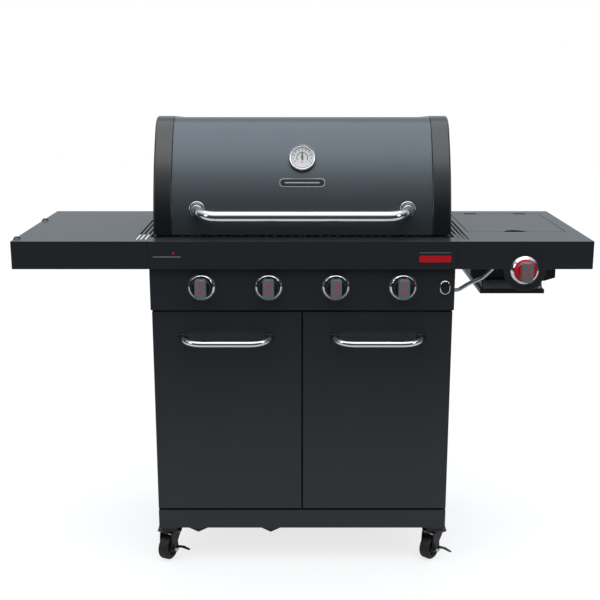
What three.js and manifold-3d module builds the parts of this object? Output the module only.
// A four-burner gas barbecue grill on a cabinet cart, with two side shelves and a side burner.
// Millimetres, +Z up. X runs to the grill's right as its user faces it, Y from front to back.
// Inside the group, Y is measured from the front face of the side shelves and Z from the ground;
// the group then moves the middle of the footprint to the origin.
import * as THREE from "three";
import { mergeVertices } from "three/addons/utils/BufferGeometryUtils.js";
import Module from "manifold-3d";

const wasm = await Module();
wasm.setup();

// Driving sizes
const FOOTPRINT_MIDDLE = 223; // from the shelves' front face to the middle of the footprint
const SHEET = 2; // steel sheet
const GAP = 0.4; // between pieces that touch or slide
const SHELF_TOP = 830;
const SHELF_DEPTH = 482;
const SHELF_SKIRT = 66.5; // height of the shelves' and the beam's front face
const BODY_HALF = 364.6; // half the body's width, up to the seams beside the shelves
const SHELF_REACH = 320;
const PANEL_HALF = 363; // control panel
const PANEL_FRONT = 12;
const PANEL_LOW = 661;
const DOOR_HALF = 360.5;
const DOOR_FRONT = 16;
const DOOR_LOW = 147;
const DOOR_HIGH = 656;
const DOOR_DEPTH = 18;
const PLINTH_LOW = 94;
const PLINTH_HIGH = 142;
const CABINET_BACK = 455;
const SIDE_FRONT = 42; // front edge of the side panels, behind the doors
const SIDE_TOP = 822;
const HINGE_X = 352; // door pins
const HINGE_Y = 27;
const RIM = 832; // top of the firebox
const BOX_HALF = 350;
const BOX_FRONT = 62;
const BOX_BACK = 447;
const KNOB_X = [-240, -80, 80, 240];
const KNOB_Z = 718;
const SIDE_KNOB = { x: 525, z: 761 };
const SWITCH = { x: 340, z: 717 };
const LID_PIVOT = { y: 452, z: 860 };
const LID_HALF = 357;
const CAP_WIDTH = 44;
const CAP_PROUD = 3; // end caps stand this much proud of the lid's sheet
const WHEEL_RADIUS = 30.5;
const WHEEL_WIDTH = 27;
const CASTER_X = 336;
const CASTER_FRONT = 52;
const CASTER_BACK = 425;
const CASTER_TRAIL = 15;
const CASTER_PLATE = { half: 30, low: 80.4, high: 83.4 };

const degrees = THREE.MathUtils.degToRad;

// Finishes, one material for each piece
const finishes = {
  charcoal: { color: 0x2b2d31, roughness: 0.45, metalness: 0.3 },
  black: { color: 0x111214, roughness: 0.55, metalness: 0.2 },
  lid: { color: 0x4c545c, roughness: 0.35, metalness: 0.5 },
  iron: { color: 0x202020, roughness: 0.8, metalness: 0.4 },
  chrome: { color: 0xd8dade, roughness: 0.1, metalness: 1 },
  steel: { color: 0x9a9da1, roughness: 0.35, metalness: 0.9 },
  zinc: { color: 0x8b8f94, roughness: 0.4, metalness: 0.8 },
  plastic: { color: 0x17181a, roughness: 0.5, metalness: 0 },
  red: { color: 0xc41f26, roughness: 0.3, metalness: 0 },
  rubber: { color: 0x141414, roughness: 0.9, metalness: 0 },
};

const grill = new THREE.Group();
grill.position.y = -FOOTPRINT_MIDDLE;

// A closed geometry as a solid, and back
function solid(geometry) {
  const bare = geometry.index ? geometry.toNonIndexed() : geometry.clone();
  bare.deleteAttribute("normal");
  bare.deleteAttribute("uv");
  const merged = mergeVertices(bare, 1e-4);
  return new wasm.Manifold(
    new wasm.Mesh({
      numProp: 3,
      vertProperties: merged.attributes.position.array,
      triVerts: new Uint32Array(merged.index.array),
    }),
  );
}

function geometryOf(body) {
  const mesh = body.getMesh();
  const geometry = new THREE.BufferGeometry();
  const positions = new THREE.BufferAttribute(new Float32Array(mesh.vertProperties), 3);
  geometry.setAttribute("position", positions);
  geometry.setIndex(new THREE.BufferAttribute(new Uint32Array(mesh.triVerts), 1));
  const faceted = geometry.toNonIndexed();
  faceted.computeVertexNormals();
  return faceted;
}

function piece(name, body, finish, parent = grill) {
  const material = new THREE.MeshStandardMaterial(finishes[finish]);
  const mesh = new THREE.Mesh(geometryOf(body), material);
  mesh.name = name;
  parent.add(mesh);
  return mesh;
}

const joined = (first, ...rest) => rest.reduce((sum, next) => sum.add(next), first);
const cut = (body, ...tools) => tools.reduce((left, tool) => left.subtract(tool), body);

// A block between two values on each axis
function block([x0, x1], [y0, y1], [z0, z1]) {
  const geometry = new THREE.BoxGeometry(x1 - x0, y1 - y0, z1 - z0);
  geometry.translate((x0 + x1) / 2, (y0 + y1) / 2, (z0 + z1) / 2);
  return solid(geometry);
}

// An outline pushed along one axis. The outline's two numbers are the other two axes in the
// order Y Z for a push along X, X Z along Y, and X Y along Z.
function prism(outline, axis, from, to) {
  const shape = new THREE.Shape(outline.map(([a, b]) => new THREE.Vector2(a, b)));
  const geometry = new THREE.ExtrudeGeometry(shape, { depth: to - from, bevelEnabled: false });
  const turn = new THREE.Matrix4();
  if (axis === "x") turn.set(0, 0, 1, from, 1, 0, 0, 0, 0, 1, 0, 0, 0, 0, 0, 1);
  if (axis === "y") turn.set(1, 0, 0, 0, 0, 0, -1, to, 0, 1, 0, 0, 0, 0, 0, 1);
  if (axis === "z") turn.makeTranslation(0, 0, from);
  geometry.applyMatrix4(turn);
  return solid(geometry);
}

// A round bar along one axis, centred on the other two
function rod(radius, axis, [a, b], from, to, sides = 16) {
  const outline = [];
  for (let i = 0; i < sides; i += 1) {
    const angle = ((i + 0.5) / sides) * 2 * Math.PI;
    outline.push([a + radius * Math.cos(angle), b + radius * Math.sin(angle)]);
  }
  return prism(outline, axis, from, to);
}

// A turned shape: radius and height along an axis that ends up on +Z, or on -Y for a front piece
function turned(profile, sides = 28) {
  const points = profile.map(([r, h]) => new THREE.Vector2(r, h));
  const geometry = new THREE.LatheGeometry(points, sides);
  geometry.rotateX(Math.PI / 2);
  return solid(geometry);
}

// A tube with round bends along a chain of points
function tube(points, bend, radius, sides = 12) {
  const path = new THREE.CurvePath();
  const corners = points.map((p) => new THREE.Vector3(...p));
  let start = corners[0];
  for (let i = 1; i < corners.length - 1; i += 1) {
    const corner = corners[i];
    const back = start.clone().sub(corner).setLength(bend).add(corner);
    const ahead = corners[i + 1].clone().sub(corner).setLength(bend).add(corner);
    path.add(new THREE.LineCurve3(start, back));
    path.add(new THREE.QuadraticBezierCurve3(back, corner, ahead));
    start = ahead;
  }
  path.add(new THREE.LineCurve3(start, corners.at(-1)));
  const section = new THREE.Shape();
  for (let i = 0; i < sides; i += 1) {
    const angle = ((i + 0.5) / sides) * 2 * Math.PI;
    const x = radius * Math.cos(angle);
    const y = radius * Math.sin(angle);
    if (i === 0) section.moveTo(x, y);
    else section.lineTo(x, y);
  }
  const steps = Math.round(path.getLength() / Math.max(12, radius * 1.3));
  return solid(new THREE.ExtrudeGeometry(section, { extrudePath: path, steps }));
}

// A pan of sheet: a block hollowed from one side
function pan(x, y, z, open) {
  const inner = [x, y, z].map(([low, high]) => [low + SHEET, high - SHEET]);
  const index = "xyz".indexOf(open.axis);
  inner[index][open.end] += open.end ? 2 * SHEET : -2 * SHEET;
  return cut(block(x, y, z), block(...inner));
}

const mirrored = (body) => body.mirror([1, 0, 0]);

// --- Cart ---------------------------------------------------------------------------------

const SIDE_OUT = 363.6;
const SIDE_IN = SIDE_OUT - SHEET;
const FLANGE = 20;
const LEDGE_TOP = 638; // the grease tray runs on it
const LEDGE_IN = 330;
const TUBE_EXIT = { y: 57, z: 706, radius: 9 };

function sidePanel() {
  const outline = [
    [SIDE_FRONT, PLINTH_LOW],
    [CABINET_BACK, PLINTH_LOW],
    [CABINET_BACK, SIDE_TOP],
    [BOX_FRONT, SIDE_TOP],
    [BOX_FRONT, PANEL_LOW + 96],
    [SIDE_FRONT, PANEL_LOW + 96],
  ];
  const wall = prism(outline, "x", SIDE_IN, SIDE_OUT);
  const inward = [SIDE_OUT - FLANGE, SIDE_OUT];
  const front = block(inward, [SIDE_FRONT, SIDE_FRONT + SHEET], [PLINTH_HIGH, PANEL_LOW]);
  const back = block(inward, [CABINET_BACK - SHEET, CABINET_BACK], [PLINTH_HIGH, PANEL_LOW]);
  const ledge = block([LEDGE_IN, SIDE_OUT], [70, 440], [LEDGE_TOP - SHEET, LEDGE_TOP]);
  return joined(wall, front, back, ledge);
}

const tubeHole = rod(TUBE_EXIT.radius, "x", [TUBE_EXIT.y, TUBE_EXIT.z], SIDE_IN - 5, SIDE_OUT + 5);
piece("side_panel_left", mirrored(sidePanel()), "charcoal");
piece("side_panel_right", cut(sidePanel(), tubeHole), "charcoal");

const REAR_HALF = SIDE_OUT - FLANGE - GAP;
const REAR_LOW = 98;
const REAR_TOP = 580;
const rearSheet = [CABINET_BACK - SHEET, CABINET_BACK];
const rearWall = block([-REAR_HALF, REAR_HALF], rearSheet, [REAR_LOW, REAR_TOP]);
const rearLip = block(
  [-REAR_HALF, REAR_HALF],
  [CABINET_BACK - 14, CABINET_BACK],
  [REAR_TOP - SHEET, REAR_TOP],
);
piece("rear_panel", joined(rearWall, rearLip), "charcoal");

// Floor pan. A gas bottle's foot ring stands in the round cut-out, and the two tabs that are
// bent down at the cut-out's front corners steady it.
const FLOOR = 97;
const BOTTLE = { x: -172.5, y: 235, radius: 108 };
const TAB_REACH = 92.5;
const TAB_LOW = 68;
const TAB_HALF = 60;
const floorPan = pan(
  [-SIDE_IN + GAP, SIDE_IN - GAP],
  [SIDE_FRONT + 3, CABINET_BACK - 3],
  [FLOOR - SHEET, 125],
  { axis: "z", end: 1 },
);
const tabs = [-TAB_REACH, TAB_REACH].map((reach) => {
  const middle = BOTTLE.x + reach;
  const outline = [
    [middle - TAB_HALF, FLOOR],
    [middle, TAB_LOW],
    [middle + TAB_HALF, FLOOR],
  ];
  return prism(outline, "y", SIDE_FRONT + 3, SIDE_FRONT + 3 + SHEET);
});
// Mounting plates for the casters, on spacer blocks under the floor
const casterMounts = [-CASTER_X, CASTER_X].flatMap((x) =>
  [CASTER_FRONT, CASTER_BACK].map((y) => {
    const { half, low, high } = CASTER_PLATE;
    const plate = block([x - half, x + half], [y - half, y + half], [low, high]);
    const spacer = block([x - 20, x + 20], [y - 28, y + 24], [high - 1, PLINTH_LOW - 0.5]);
    const foot = block([x - 20, x + 20], [y - 5, y + 22], [PLINTH_LOW - 1, FLOOR - 1]);
    return joined(plate, spacer, foot);
  }),
);
const bottleHole = rod(BOTTLE.radius, "z", [BOTTLE.x, BOTTLE.y], 80, 110, 32);
piece("bottom_shelf", cut(joined(floorPan, ...tabs, ...casterMounts), bottleHole), "charcoal");

const pinHoles = [-HINGE_X, HINGE_X].map((x) =>
  rod(3.6, "z", [x, HINGE_Y], PLINTH_LOW + 10, PANEL_LOW + 10),
);
const plinthBox = pan([-DOOR_HALF, DOOR_HALF], [DOOR_FRONT, SIDE_FRONT - GAP], [PLINTH_LOW, PLINTH_HIGH], {
  axis: "y",
  end: 1,
});
piece("plinth_rail", cut(plinthBox, ...pinHoles), "charcoal");

// --- Casters ------------------------------------------------------------------------------

// The fork's own frame: origin on the swivel axis at floor height, wheel behind along -Y
const CROWN_TOP = CASTER_PLATE.low - 0.6;
const LEG_IN = WHEEL_WIDTH / 2 + 2;
const LEG_OUT = LEG_IN + 2.5;
const AXLE_RADIUS = 4;
const FLATS = 24; // sides of the wheel, one of them flat on the ground

function casterFork() {
  const crown = rod(24, "z", [0, 0], CROWN_TOP - 5, CROWN_TOP, 24);
  const bridge = block([-LEG_OUT, LEG_OUT], [-26, 20], [CROWN_TOP - 9, CROWN_TOP - 4.5]);
  const outline = [
    [20, CROWN_TOP - 4.5],
    [18, 62],
    [-CASTER_TRAIL + 12, 26],
    [-CASTER_TRAIL, 20],
    [-CASTER_TRAIL - 10, 24],
    [-CASTER_TRAIL - 12, 36],
    [-24, CROWN_TOP - 4.5],
  ];
  const legs = [-LEG_OUT, LEG_IN].map((x) => prism(outline, "x", x, x + LEG_OUT - LEG_IN));
  const axle = rod(AXLE_RADIUS, "x", [-CASTER_TRAIL, WHEEL_RADIUS], -LEG_OUT - 3, LEG_OUT + 1, 12);
  return joined(crown, bridge, ...legs, axle);
}

function casterWheel() {
  const across = WHEEL_RADIUS / Math.cos(Math.PI / FLATS);
  const half = WHEEL_WIDTH / 2;
  const profile = [
    [AXLE_RADIUS + GAP, -half],
    [11, -half],
    [11, -half + 5],
    [22, -half + 5],
    [22, -half],
    [across - 4, -half],
    [across, -half + 5],
    [across, half - 5],
    [across - 4, half],
    [22, half],
    [22, half - 5],
    [11, half - 5],
    [11, half],
    [AXLE_RADIUS + GAP, half],
    [AXLE_RADIUS + GAP, -half],
  ];
  return turned(profile, FLATS).rotate([0, 0, 180 / FLATS]);
}

// Brake pedal: a cheek that lies against the fork's leg and a cranked arm that stands out from
// it. It tips on a line through the axle's outer end.
const PEDAL_HINGE = LEG_OUT + 4.5;
const PEDAL_HALF = 8;

function brakePedal() {
  const outline = [
    [-1, -7],
    [1, -7],
    [1, 3],
    [22, 8],
    [41, 5],
    [41.4, 7.2],
    [22, 10.4],
    [-1, 5],
  ];
  return prism(outline, "y", -PEDAL_HALF, PEDAL_HALF);
}

// Where each caster stands, and the degrees that its axle points away from X
const casterPlaces = {
  front_left: [-CASTER_X, CASTER_FRONT, -25],
  front_right: [CASTER_X, CASTER_FRONT, -40],
  rear_left: [-CASTER_X, CASTER_BACK, -25],
  rear_right: [CASTER_X, CASTER_BACK, -32],
};
for (const [place, [x, y, turn]] of Object.entries(casterPlaces)) {
  const caster = new THREE.Group();
  caster.position.set(x, y, 0);
  caster.rotation.z = degrees(turn);
  grill.add(caster);
  piece(`caster_fork_${place}`, casterFork(), "black", caster);
  const wheel = piece(`caster_wheel_${place}`, casterWheel(), "rubber", caster);
  wheel.rotation.y = Math.PI / 2;
  wheel.position.set(0, -CASTER_TRAIL, WHEEL_RADIUS);
  if (place.startsWith("front")) {
    const pedal = piece(`brake_pedal_${place}`, brakePedal(), "black", caster);
    pedal.position.set(PEDAL_HINGE, -CASTER_TRAIL, WHEEL_RADIUS);
  }
}

// --- Doors --------------------------------------------------------------------------------

const DOOR_GAP = 1.75; // half the slit between the doors
const DOOR_HANDLE = { left: 79, right: 286, foot: 591, bar: 586, front: -22, radius: 8, bend: 35 };

function door() {
  const panel = pan([DOOR_GAP, DOOR_HALF], [DOOR_FRONT, DOOR_FRONT + DOOR_DEPTH], [DOOR_LOW, DOOR_HIGH], {
    axis: "y",
    end: 1,
  });
  const lower = rod(3, "z", [HINGE_X, HINGE_Y], DOOR_LOW - 7, DOOR_LOW + 1, 12);
  const upper = rod(3, "z", [HINGE_X, HINGE_Y], DOOR_HIGH - 1, DOOR_HIGH + 7, 12);
  return joined(panel, lower, upper);
}

function doorHandle() {
  const { left, right, foot, bar, front, radius, bend } = DOOR_HANDLE;
  const face = DOOR_FRONT - GAP;
  const chain = [
    [left, face + 5, foot + 1],
    [left, front, bar],
    [right, front, bar],
    [right, face + 5, foot + 1],
  ];
  const beyond = block([0, 400], [face, face + 20], [550, 620]);
  return cut(tube(chain, bend, radius, 10), beyond);
}

piece("door_right", door(), "charcoal");
piece("door_left", mirrored(door()), "charcoal");
piece("door_handle_right", doorHandle(), "chrome");
piece("door_handle_left", mirrored(doorHandle()), "chrome");

// --- Firebox ------------------------------------------------------------------------------

const HOPPER = 60; // half width of the drain gutter
const HOPPER_LOW = 666;
const HOPPER_SIDE = 690;
const BURNER_Z = KNOB_Z;
const BURNER_RADIUS = 13;

function fireboxOutline(inset, top) {
  const side = BOX_HALF - inset;
  return [
    [-side, top],
    [-side, HOPPER_SIDE + inset],
    [-HOPPER, HOPPER_LOW + inset],
    [HOPPER, HOPPER_LOW + inset],
    [side, HOPPER_SIDE + inset],
    [side, top],
  ];
}

function pivotEar() {
  const outline = [
    [431, 822],
    [443.5, 822],
    [444, 842],
    [447, 846.5],
    [455, 845.5],
    [464, 852],
    [464, 864],
    [458, 872],
    [446, 872],
    [438, 860],
    [434, 842],
  ];
  const plate = prism(outline, "x", BOX_HALF - 6, BOX_HALF - 2);
  const stud = rod(4, "x", [LID_PIVOT.y, LID_PIVOT.z], BOX_HALF - 4, LID_HALF + 2.5);
  return joined(plate, stud);
}

const tub = prism(fireboxOutline(0, RIM), "y", BOX_FRONT, BOX_BACK);
const hollow = prism(fireboxOutline(SHEET, RIM + 10), "y", BOX_FRONT + SHEET, BOX_BACK - SHEET);
const rimPlate = block([-BOX_HALF - 6, BOX_HALF + 6], [BOX_FRONT - 4, BOX_BACK + 4], [RIM - SHEET, RIM]);
const drain = block([-40, 40], [225, 285], [HOPPER_LOW - 5, HOPPER_LOW + 10]);
const burnerHoles = KNOB_X.map((x) =>
  rod(BURNER_RADIUS + GAP, "y", [x, BURNER_Z], BOX_FRONT - 5, BOX_FRONT + 10, 20),
);
const firebox = cut(joined(tub, rimPlate), hollow, drain, ...burnerHoles);
piece("firebox", joined(firebox, pivotEar(), mirrored(pivotEar())), "black");

// Tube burners lie front to back, their open ends over the valves' jets
const BURNER_BACK = BOX_BACK - SHEET - GAP;
KNOB_X.forEach((x, i) => {
  const outer = rod(BURNER_RADIUS, "y", [x, BURNER_Z], 58, BURNER_BACK, 20);
  const bore = rod(BURNER_RADIUS - SHEET, "y", [x, BURNER_Z], 50, BURNER_BACK - 6);
  piece(`burner_${i + 1}`, cut(outer, bore), "steel");
});

// Emitter plates: sheet folded into ridges, one over each pair of burners
const EMITTER_Z = 752;
const EMITTER_RIDGES = 9;

function emitter() {
  const left = 4;
  const right = BOX_HALF - SHEET - 1.5;
  const step = (right - left) / (2 * EMITTER_RIDGES);
  const folds = Array.from({ length: 2 * EMITTER_RIDGES + 1 }, (_, i) => [
    left + i * step,
    EMITTER_Z + (i % 2 ? 14 : 0),
  ]);
  const under = folds.map(([x, z]) => [x, z - SHEET]).reverse();
  return prism([...folds, ...under], "y", BOX_FRONT + 6, BOX_BACK - 6);
}

piece("emitter_right", emitter(), "steel");
piece("emitter_left", mirrored(emitter()), "steel");

// A slab with long slots between its bars
function grating([x0, x1], [y0, y1], [z0, z1], bars, cross, edge) {
  const pitch = (x1 - x0 - edge) / bars;
  const half = (y1 - y0 - edge) / cross;
  const slots = [];
  for (let i = 0; i < bars; i += 1) {
    for (let j = 0; j < cross; j += 1) {
      const x = x0 + edge + i * pitch;
      const y = y0 + edge + j * half;
      slots.push(block([x, x + pitch - edge], [y, y + half - edge], [z0 - 1, z1 + 1]));
    }
  }
  return cut(block([x0, x1], [y0, y1], [z0, z1]), ...slots);
}

const GRATE_Z = [806, 818];
const grate = grating([2, BOX_HALF - SHEET - 1], [BOX_FRONT + 4, BOX_BACK - 4], GRATE_Z, 16, 2, 7);
piece("grate_right", grate, "iron");
piece("grate_left", mirrored(grate), "iron");

// Warming rack on four legs that stand on the rim
const RACK = { half: BOX_HALF + 1.5, front: 300, back: 425, z: 920, wire: 5 };
const rackTop = grating(
  [-RACK.half, RACK.half],
  [RACK.front, RACK.back],
  [RACK.z - RACK.wire, RACK.z],
  18,
  1,
  RACK.wire,
);
const rackLegs = [];
for (const x of [-RACK.half, RACK.half - RACK.wire]) {
  for (const y of [RACK.front, RACK.back - RACK.wire]) {
    rackLegs.push(block([x, x + RACK.wire], [y, y + RACK.wire], [RIM + GAP, RACK.z - 1]));
  }
}
piece("warming_rack", joined(rackTop, ...rackLegs), "chrome");

// Grease tray with a hole in its middle over the cup
const TRAY_HALF = SIDE_OUT - FLANGE - 5;
const TRAY_HIGH = 660;
const trayPan = pan([-TRAY_HALF, TRAY_HALF], [72, 448], [LEDGE_TOP + GAP, TRAY_HIGH], {
  axis: "z",
  end: 1,
});
const trayHole = rod(20, "z", [0, 255], 630, 650);
piece("grease_tray", cut(trayPan, trayHole), "steel");
const cup = pan([-50, 50], [205, 305], [592, LEDGE_TOP], { axis: "z", end: 1 });
piece("grease_cup", cup, "steel");

// --- Gas and ignition ---------------------------------------------------------------------

const PIPE = { y: 46, z: 704, radius: 9, end: 330 };
const VALVE_FRONT = 24;
const VALVE_BACK = 55;
const STEM_RADIUS = 4;
const STEM_BACK = 30;
const STEM_FRONT = -8;
const STEM_PUSH = 4;

// Body, jet and stem bore of a valve on the axis x, z
function valve(x, z, front, back) {
  const body = rod(12, "y", [x, z], front, back, 12);
  const jet = rod(5, "y", [x, z], back - 1, back + 14, 10);
  return joined(body, jet);
}

function stemBore(x, z, front, deep) {
  return rod(STEM_RADIUS + GAP, "y", [x, z], front - 1, deep, 12);
}

const INLET_X = -292;
const pipe = rod(PIPE.radius, "x", [PIPE.y, PIPE.z], INLET_X - 10, PIPE.end, 12);
const valves = KNOB_X.map((x) => valve(x, KNOB_Z, VALVE_FRONT, VALVE_BACK));
const inlet = rod(7, "z", [INLET_X, PIPE.y], 680, PIPE.z, 12);
const inletNut = rod(10, "z", [INLET_X, PIPE.y], 682, 690, 6);
const bores = KNOB_X.map((x) => stemBore(x, KNOB_Z, VALVE_FRONT, STEM_BACK + STEM_PUSH + 2));
const inletBore = rod(4, "z", [INLET_X, PIPE.y], 675, 694, 12);
piece("gas_manifold", cut(joined(pipe, inlet, inletNut, ...valves), ...bores, inletBore), "zinc");

piece("ignition_module", block([266, 322], [PANEL_FRONT + SHEET + GAP, 34], [728, 756]), "plastic");

// --- Front beam and control panel ---------------------------------------------------------

const BEAM_LOW = SHELF_TOP - SHELF_SKIRT;
const beamOutline = [
  [0, BEAM_LOW],
  [PANEL_FRONT, BEAM_LOW],
  [PANEL_FRONT, BEAM_LOW + SHEET],
  [SHEET, BEAM_LOW + SHEET],
  [SHEET, SHELF_TOP - SHEET],
  [BOX_FRONT - 5, SHELF_TOP - SHEET],
  [BOX_FRONT - 5, SHELF_TOP],
  [0, SHELF_TOP],
];
piece("front_beam", prism(beamOutline, "x", -BODY_HALF, BODY_HALF), "charcoal");

const SWITCH_HOLE = { half: 10.5, rise: 15 };
const panelBox = pan(
  [-PANEL_HALF, PANEL_HALF],
  [PANEL_FRONT, SIDE_FRONT - GAP],
  [PANEL_LOW, BEAM_LOW - GAP],
  { axis: "y", end: 1 },
);
const stemHoles = KNOB_X.map((x) => rod(6, "y", [x, KNOB_Z], PANEL_FRONT - 3, PANEL_FRONT + 6));
const switchHole = block(
  [SWITCH.x - SWITCH_HOLE.half, SWITCH.x + SWITCH_HOLE.half],
  [PANEL_FRONT - 3, PANEL_FRONT + 6],
  [SWITCH.z - SWITCH_HOLE.rise, SWITCH.z + SWITCH_HOLE.rise],
);
piece("control_panel", cut(panelBox, ...stemHoles, switchHole, ...pinHoles), "charcoal");

// Rocker: it rests tipped with its upper end in
const ROCKER_TILT = 7;
const rockerOutline = [
  [-4, -13],
  [-2.5, 0],
  [-4, 13],
  [4, 10],
  [4, -10],
];
const rocker = piece("rocker_switch", prism(rockerOutline, "x", -8.5, 8.5), "plastic");
rocker.position.set(SWITCH.x, PANEL_FRONT + 2, SWITCH.z);
rocker.rotation.x = degrees(-ROCKER_TILT);

// --- Knobs and stems ----------------------------------------------------------------------

// The knob's own frame: origin on the panel's face, +Z towards the user before the turn to -Y
const KNOB_FACE = 20;
const GRIP = { half: 13, reach: 23, rise: 16 };

function knob() {
  const profile = [
    [0, 5.5],
    [27.5, 5.5],
    [27.5, 8],
    [25, KNOB_FACE - 1],
    [24, KNOB_FACE],
    [0, KNOB_FACE],
  ];
  const dial = turned(profile);
  const grip = prism(
    [
      [-GRIP.half, -GRIP.reach],
      [GRIP.half, -GRIP.reach],
      [GRIP.half, GRIP.reach - 4],
      [GRIP.half - 4, GRIP.reach],
      [4 - GRIP.half, GRIP.reach],
      [-GRIP.half, GRIP.reach - 4],
    ],
    "z",
    KNOB_FACE - 1,
    KNOB_FACE + GRIP.rise,
  );
  const bore = rod(STEM_RADIUS + GAP, "z", [0, 0], 0, KNOB_FACE + 2);
  return cut(joined(dial, grip), bore);
}

function knobSet(x, z, face, knobName, stemName, finish) {
  const knobMesh = piece(knobName, knob(), finish);
  knobMesh.rotation.x = Math.PI / 2;
  knobMesh.position.set(x, face, z);
  const stemFront = face + STEM_FRONT - PANEL_FRONT;
  const stemBack = face + STEM_BACK - PANEL_FRONT;
  const stem = rod(STEM_RADIUS, "y", [x, z], stemFront, stemBack, 12);
  piece(stemName, stem, "steel");
}

KNOB_X.forEach((x, i) => {
  knobSet(x, KNOB_Z, PANEL_FRONT, `knob_${i + 1}`, `valve_stem_${i + 1}`, "plastic");
});
knobSet(SIDE_KNOB.x, SIDE_KNOB.z, 0, "side_burner_knob", "side_burner_stem", "red");

// --- Side shelves -------------------------------------------------------------------------

const SHELF_IN = BODY_HALF + GAP;
const SHELF_OUT = SHELF_IN + SHELF_REACH;
const SLOTS = { middles: [373, 384, 394], width: 4.5, front: 28, back: 420 };
const COVER = { left: 408, right: 652, front: 136, back: 430 };
const LOBE = 50;

function sideShelf() {
  const tray = pan([SHELF_IN, SHELF_OUT], [0, SHELF_DEPTH], [BEAM_LOW, SHELF_TOP], { axis: "z", end: 0 });
  const half = SLOTS.width / 2;
  const slots = SLOTS.middles.map((x) =>
    block([x - half, x + half], [SLOTS.front, SLOTS.back], [SHELF_TOP - 5, SHELF_TOP + 1]),
  );
  return cut(tray, ...slots);
}

const lobe = rod(LOBE, "y", [SIDE_KNOB.x, SIDE_KNOB.z], 0, SHEET, 40);
const coverHole = block(
  [COVER.left, COVER.right],
  [COVER.front, COVER.back],
  [SHELF_TOP - 5, SHELF_TOP + 1],
);
const sideStemHole = rod(6, "y", [SIDE_KNOB.x, SIDE_KNOB.z], -3, 6);
piece("side_shelf_left", mirrored(sideShelf()), "charcoal");
piece("side_shelf_right", cut(sideShelf().add(lobe), coverHole, sideStemHole), "charcoal");

// --- Side burner --------------------------------------------------------------------------

const TUB = { left: 421, right: 633, bend: 607, front: 140, back: 426, low: 705, high: 820 };
const DRIP = { left: 447, right: 596, low: 679, top: 709, front: 118, back: 400, flange: 5, roll: 20 };
const HEAD = { x: 527, y: 285, z: 770, radius: 52 };
const MIXER_RADIUS = 11;

function tubOutline(inset, top) {
  return [
    [TUB.left + inset, top],
    [TUB.left + inset, TUB.low + 12 + inset],
    [TUB.left + 12, TUB.low + inset],
    [TUB.bend, TUB.low + inset],
    [TUB.right - inset, TUB.low + 8 + inset],
    [TUB.right - inset, top],
  ];
}

// The drip box from the side: it stands out in front of the tub under a rolled edge
function dripOutline(inset, low) {
  const outline = [
    [DRIP.back - inset, DRIP.top - inset],
    [DRIP.back - inset, low],
    [DRIP.front + inset, low],
  ];
  const steps = 8;
  for (let i = 0; i <= steps; i += 1) {
    const angle = (Math.PI / 2) * (i / steps);
    outline.push([
      DRIP.front + DRIP.roll - (DRIP.roll - inset) * Math.cos(angle),
      DRIP.top - DRIP.roll + (DRIP.roll - inset) * Math.sin(angle),
    ]);
  }
  return outline;
}

const tubOuter = prism(tubOutline(0, TUB.high), "y", TUB.front, TUB.back);
const tubInner = prism(tubOutline(SHEET, TUB.high + 5), "y", TUB.front + SHEET, TUB.back - SHEET);
const dripOuter = prism(dripOutline(0, DRIP.low), "x", DRIP.left, DRIP.right);
const dripFlange = block(
  [DRIP.left - DRIP.flange, DRIP.right + DRIP.flange],
  [DRIP.front - DRIP.flange, DRIP.back + DRIP.flange],
  [DRIP.low, DRIP.low + 10],
);
const dripSpan = [DRIP.left + SHEET, DRIP.right - SHEET];
const dripInner = prism(dripOutline(SHEET, DRIP.low + 3), "x", ...dripSpan);
const dripMouth = block(dripSpan, [TUB.front + SHEET, DRIP.back - SHEET], [TUB.low - 1, TUB.low + 6]);
const tubRim = cut(
  block([TUB.left - 8, TUB.right + 8], [TUB.front - 2, TUB.back + 2], [TUB.high - SHEET, TUB.high]),
  block([TUB.left + 1, TUB.right - 1], [TUB.front + 1, TUB.back - 1], [TUB.high - 5, TUB.high + 5]),
);
const mixerHole = rod(MIXER_RADIUS + 1.5, "y", [SIDE_KNOB.x, SIDE_KNOB.z], TUB.front - 5, TUB.front + 5);
const tubBody = joined(tubOuter, dripOuter, dripFlange);
const tubShell = cut(tubBody, tubInner, dripInner, dripMouth, mixerHole);
piece("side_burner_tub", tubShell.add(tubRim), "black");

const burnerCup = rod(HEAD.radius, "z", [HEAD.x, HEAD.y], HEAD.z - 22, HEAD.z + 14, 32);
const crown = rod(HEAD.radius - 14, "z", [HEAD.x, HEAD.y], HEAD.z + 13, HEAD.z + 22, 32);
const mixer = rod(MIXER_RADIUS, "y", [SIDE_KNOB.x, SIDE_KNOB.z], 60, HEAD.y);
const mixerBore = rod(MIXER_RADIUS - SHEET, "y", [SIDE_KNOB.x, SIDE_KNOB.z], 50, HEAD.y - 60);
piece("side_burner_head", cut(joined(burnerCup, crown, mixer), mixerBore), "iron");

piece(
  "side_burner_grate",
  grating([TUB.left + 6, TUB.right - 6], [TUB.front + 6, TUB.back - 8], [810, 819], 6, 2, 7),
  "iron",
);

// Flush cover; a half-moon at its front edge lets a finger under it
const COVER_CLEAR = 1.5;
const NOTCH = 28;
const coverPlate = pan(
  [COVER.left + COVER_CLEAR, COVER.right - COVER_CLEAR],
  [COVER.front + COVER_CLEAR, COVER.back - 3],
  [SHELF_TOP - 6, SHELF_TOP],
  { axis: "z", end: 0 },
);
const notch = rod(NOTCH, "z", [HEAD.x, COVER.front - 3], SHELF_TOP - 10, SHELF_TOP + 5, 32);
piece("side_burner_cover", cut(coverPlate, notch), "charcoal");

const sideValve = cut(valve(SIDE_KNOB.x, SIDE_KNOB.z, 10, 44), stemBore(SIDE_KNOB.x, SIDE_KNOB.z, 10, 25));
piece("side_burner_valve", sideValve, "zinc");

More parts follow.
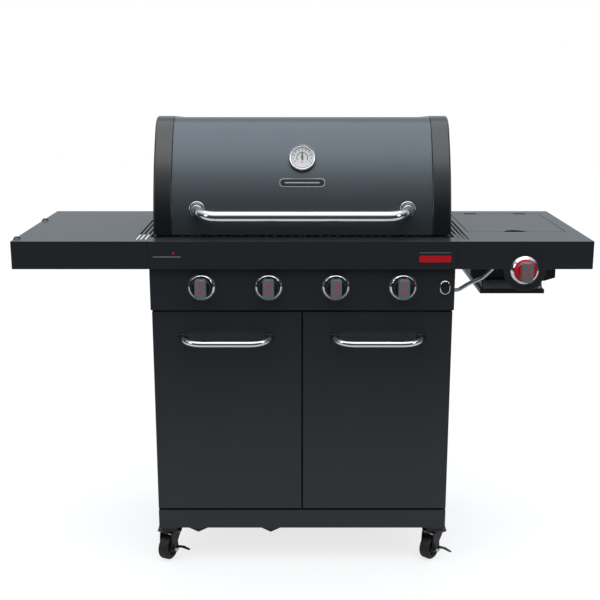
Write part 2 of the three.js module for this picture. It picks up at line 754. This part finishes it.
// Gas tube from the manifold's end, out through the side panel and up to the side valve
const GAS_TUBE = [
  [PIPE.end + GAP, PIPE.y, PIPE.z],
  [342, PIPE.y, PIPE.z],
  [358, TUBE_EXIT.y, TUBE_EXIT.z],
  [384, 60, 702],
  [404, 60, 716],
  [436, 60, 729],
  [452, 56, 747],
  [480, 40, 757],
  [498, 34, SIDE_KNOB.z],
  [SIDE_KNOB.x - 12 - GAP, 34, SIDE_KNOB.z],
];
piece("side_burner_gas_tube", tube(GAS_TUBE, 7, 4, 8), "zinc");

// --- Lid ----------------------------------------------------------------------------------

// The lid's outline from the side: a wide front arc, a tighter upper corner, a top that falls
// gently to the back and a rounded rear corner. inset moves the outline inwards.
const FRONT_ARC = { radius: 520, from: 6, to: 35 };
const LID_LOW = 836;
const LID_NOSE = 54; // front of the lid at its lower edge
const TOP_CORNER = 68;
const TOP_FALL = 4;
const REAR_CORNER = 60;
const LID_BACK = 474;
const LID_REAR_LOW = 854;

function lidOutline(inset) {
  const { radius, from, to } = FRONT_ARC;
  const centre = new THREE.Vector2(
    LID_NOSE + radius * Math.cos(degrees(from)),
    LID_LOW - radius * Math.sin(degrees(from)),
  );
  const corner = new THREE.Vector2(-Math.cos(degrees(to)), Math.sin(degrees(to)))
    .multiplyScalar(radius - TOP_CORNER)
    .add(centre);
  const lean = degrees(TOP_FALL);
  const rearY = LID_BACK - REAR_CORNER;
  const rearZ =
    corner.y +
    TOP_CORNER * Math.cos(lean) -
    REAR_CORNER * Math.cos(lean) -
    (rearY + REAR_CORNER * Math.sin(lean) - corner.x - TOP_CORNER * Math.sin(lean)) * Math.tan(lean);
  const outline = new THREE.Path();
  const turn = (angle) => degrees(180 - angle);
  outline.absarc(centre.x, centre.y, radius - inset, turn(from), turn(to), true);
  const front = outline.getPoints(14);
  const arc = (middle, r, a, b, count) =>
    Array.from({ length: count + 1 }, (_, i) => {
      const angle = turn(a + ((b - a) * i) / count);
      return new THREE.Vector2(middle.x + r * Math.cos(angle), middle.y + r * Math.sin(angle));
    });
  const upper = arc(corner, TOP_CORNER - inset, to, 90 + TOP_FALL, 6).slice(1);
  const rear = arc({ x: rearY, y: rearZ }, REAR_CORNER - inset, 90 + TOP_FALL, 180, 6);
  const points = [...front, ...upper, ...rear].map((p) => [p.x, p.y]);
  return [...points, [LID_BACK - inset, LID_REAR_LOW]];
}

const band = (outer, inner) => [...outer, ...inner.reverse()];
const shellHalf = LID_HALF - CAP_WIDTH - GAP;
const lidSection = band(lidOutline(CAP_PROUD), lidOutline(CAP_PROUD + SHEET));
const shell = prism(lidSection, "x", -shellHalf, shellHalf);

// Closed outline of a whole end, with the notch at the back that clears the rim as it swings
const endOutline = (inset) => [...lidOutline(inset), [438, LID_REAR_LOW], [438, LID_LOW]];

function lidCap() {
  const outer = prism(endOutline(0), "x", LID_HALF - CAP_WIDTH, LID_HALF);
  const inner = prism(
    [...lidOutline(SHEET + CAP_PROUD), [LID_BACK - SHEET - CAP_PROUD, LID_LOW - 20], [50, LID_LOW - 20]],
    "x",
    LID_HALF - CAP_WIDTH - 5,
    LID_HALF - 3,
  );
  const pivotHole = rod(4 + GAP, "x", [LID_PIVOT.y, LID_PIVOT.z], LID_HALF - 10, LID_HALF + 5);
  return cut(outer, inner, pivotHole);
}

piece("lid_cap_right", lidCap(), "black");
piece("lid_cap_left", mirrored(lidCap()), "black");

const LID_HANDLE = { reach: 252, foot: 896, bar: 887, front: 8, radius: 12.7, bend: 50 };
const lidFilled = [...lidOutline(CAP_PROUD - GAP), [LID_NOSE + 60, LID_REAR_LOW - 30]];
const lidBody = prism(lidFilled, "x", -300, 300);
const lidTube = tube(
  [
    [-LID_HANDLE.reach, 80, LID_HANDLE.foot + 3],
    [-LID_HANDLE.reach, LID_HANDLE.front, LID_HANDLE.bar],
    [LID_HANDLE.reach, LID_HANDLE.front, LID_HANDLE.bar],
    [LID_HANDLE.reach, 80, LID_HANDLE.foot + 3],
  ],
  LID_HANDLE.bend,
  LID_HANDLE.radius,
);
piece("lid_handle", lidTube.subtract(lidBody), "chrome");

// Thermometer, built in a frame on the lid's sheet with +Z along its outward normal
const GAUGE_Z = 1013;
const gaugeRise = GAUGE_Z - LID_LOW + FRONT_ARC.radius * Math.sin(degrees(FRONT_ARC.from));
const gaugeAngle = Math.asin(gaugeRise / (FRONT_ARC.radius - CAP_PROUD));
const gaugeY =
  LID_NOSE +
  FRONT_ARC.radius * Math.cos(degrees(FRONT_ARC.from)) -
  (FRONT_ARC.radius - CAP_PROUD) * Math.cos(gaugeAngle);
const gauge = new THREE.Group();
gauge.position.set(0, gaugeY, GAUGE_Z);
gauge.rotation.x = Math.PI / 2 - gaugeAngle;
grill.add(gauge);

const gaugeCase = turned([
  [0, 1.5],
  [33.5, 1.5],
  [33.5, 9],
  [30, 12],
  [27, 12],
  [27, 6],
  [0, 6],
]);
const probe = rod(3, "z", [0, 0], -45, 3, 12);
piece("thermometer_case", joined(gaugeCase, probe), "chrome", gauge);
piece(
  "thermometer_needle",
  prism(
    [
      [-1.5, -7],
      [1.5, -7],
      [2.5, 0],
      [0.4, 17],
      [-0.4, 17],
      [-2.5, 0],
    ],
    "z",
    7,
    8,
  ),
  "black",
  gauge,
);
const probeHole = rod(5, "y", [0, GAUGE_Z], 60, 200);
piece("lid_shell", shell.subtract(probeHole), "lid");

export default grill;
